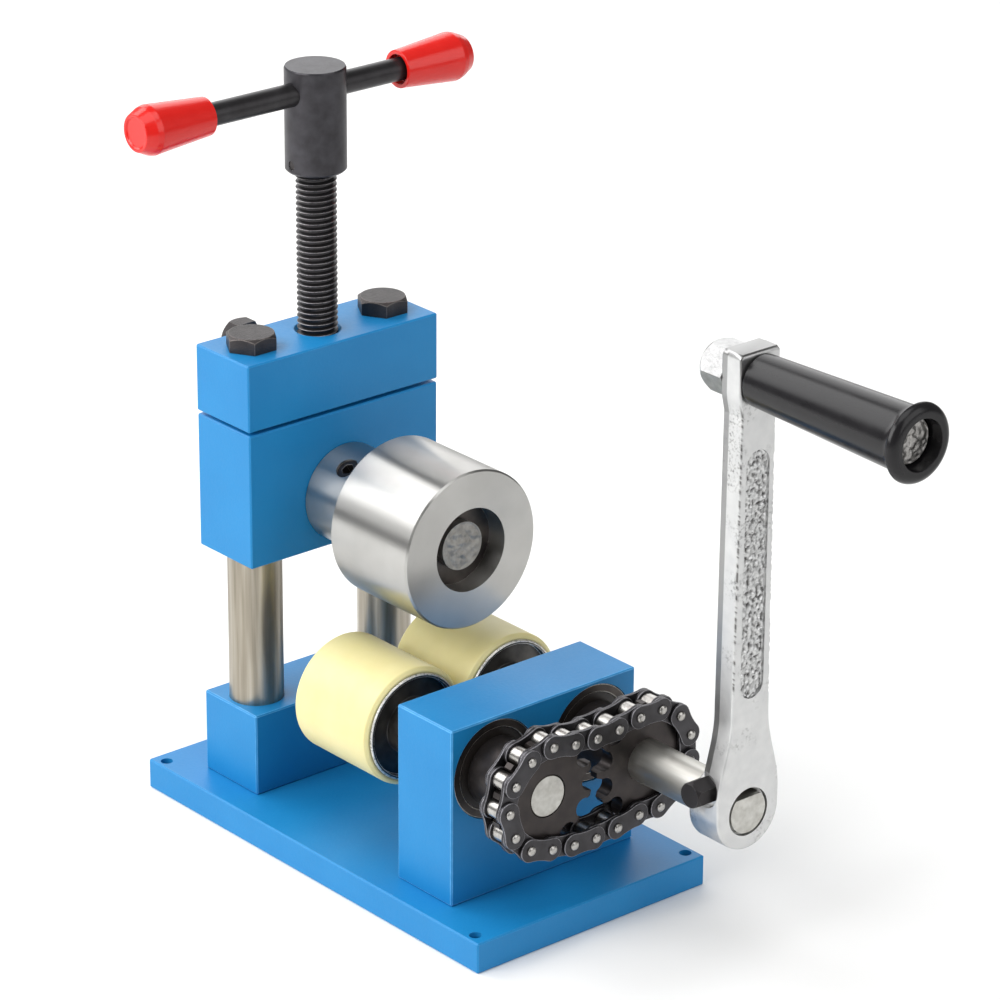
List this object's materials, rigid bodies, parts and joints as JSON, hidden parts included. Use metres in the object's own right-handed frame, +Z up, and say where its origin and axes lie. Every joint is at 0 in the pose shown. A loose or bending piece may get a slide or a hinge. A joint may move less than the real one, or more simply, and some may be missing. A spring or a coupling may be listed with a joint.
{
  "type": "bracelet bending machine",
  "caption": "Hand-cranked roll bender: a screw-set press roller over sleeved rollers that a roller chain turns together, on a flat plate, for bending strip into bracelets.",
  "frame": {"origin": "centre of the base plate's underside, on the bench", "axes": "+Z up, +X to the operator's right, +Y from the crank at the front to the columns at the back"},
  "size_m": [0.138, 0.3149, 0.2636],
  "materials": {
    "blue_paint": "glossy sky-blue paint",
    "ground_steel": "ground bar, bare",
    "polished_steel": "polished",
    "black_steel": "black oxide, satin",
    "dark_steel": "dark, machined",
    "cast_chrome": "plated casting, mottled",
    "cream_sleeve": "smooth elastomer",
    "red_vinyl": "glossy moulded grip",
    "black_plastic": "glossy moulded grip",
    "bearing_bronze": "plain bearing bronze",
    "seal_rubber": "moulded seal"
  },
  "bodies": {
    "frame": {"base_plate": "blue_paint", "foot_block": "blue_paint", "left_column": "ground_steel", "right_column": "ground_steel", "crosshead": "blue_paint", "column_bolts": "black_steel", "bearing_block": "blue_paint", "block_screws": "black_steel", "bearing_outer_rings": "dark_steel", "bearing_balls": "polished_steel", "bearing_seals": "seal_rubber", "chain_outer_plates": "black_steel", "chain_inner_plates": "black_steel", "chain_offset_link": "black_steel", "chain_bushes": "dark_steel", "chain_rollers": "polished_steel", "chain_pins": "ground_steel"},
    "lock": {"lock_bolt": "black_steel"},
    "slide": {"slide_block": "blue_paint", "press_bushes": "bearing_bronze", "neck_pins": "ground_steel"},
    "press_roll": {"press_shaft": "ground_steel", "press_roller": "polished_steel", "roller_grub_screw": "black_steel", "thrust_washer": "bearing_bronze", "retaining_ring": "black_steel"},
    "screw": {"press_screw": "black_steel", "screw_hub": "black_steel", "cross_pin": "dark_steel"},
    "bar": {"tommy_bar": "black_steel", "left_bar_grip": "red_vinyl", "right_bar_grip": "red_vinyl"},
    "drive": {"drive_shaft": "ground_steel", "drive_inner_rings": "ground_steel", "drive_roller_core": "dark_steel", "drive_roller_sleeve": "cream_sleeve", "drive_sprocket": "black_steel", "drive_grub_screw": "black_steel", "crank_arm": "cast_chrome", "cotter_bolt": "black_steel", "cotter_nut": "ground_steel", "handle_spindle": "ground_steel", "spindle_nut": "cast_chrome"},
    "handle": {"handle_grip": "black_plastic"},
    "driven": {"driven_shaft": "ground_steel", "driven_inner_rings": "ground_steel", "driven_roller_core": "dark_steel", "driven_roller_sleeve": "cream_sleeve", "driven_sprocket": "black_steel", "driven_grub_screw": "black_steel"}
  },
  "joints": [
    {"name": "crank_turn", "type": "hinge", "parent": "frame", "child": "drive", "pos_m": [0.02127, -0.05, 0.056], "axis": [0, 1, 0], "continuous": true, "deforming": ["chain_outer_plates", "chain_inner_plates", "chain_offset_link", "chain_bushes", "chain_rollers", "chain_pins"]},
    {"name": "driven_turn", "type": "hinge", "parent": "frame", "child": "driven", "pos_m": [-0.02127, -0.05, 0.056], "axis": [0, 1, 0], "continuous": true, "deforming": ["chain_outer_plates", "chain_inner_plates", "chain_offset_link", "chain_bushes", "chain_rollers", "chain_pins"]},
    {"name": "handle_spin", "type": "hinge", "parent": "drive", "child": "handle", "pos_m": [0.02127, -0.175, 0.2055], "axis": [0, 1, 0], "continuous": true},
    {"name": "press_slide", "type": "slide", "parent": "frame", "child": "slide", "axis": [0, 0, 1], "range_m": [-0.0135, 0.0009]},
    {"name": "screw_turn", "type": "hinge", "parent": "slide", "child": "screw", "pos_m": [0.0015, 0.057, 0.2], "axis": [0, 0, 1], "range_deg": [-2440, 170]},
    {"name": "bar_slide", "type": "slide", "parent": "screw", "child": "bar", "axis": [1, 0, 0], "range_m": [-0.0245, 0.0349]},
    {"name": "roller_spin", "type": "hinge", "parent": "slide", "child": "press_roll", "pos_m": [0.0015, 0, 0.1148], "axis": [0, 1, 0], "continuous": true},
    {"name": "lock_turn", "type": "hinge", "parent": "frame", "child": "lock", "pos_m": [0.0015, 0.08, 0.1537], "axis": [0, 1, 0], "range_deg": [0, 180]}
  ],
  "couplings": [
    {"joint": "driven_turn", "follows": "crank_turn", "ratio": 1},
    {"joint": "screw_turn", "follows": "press_slide", "rad_per_m": 3141.6}
  ]
}
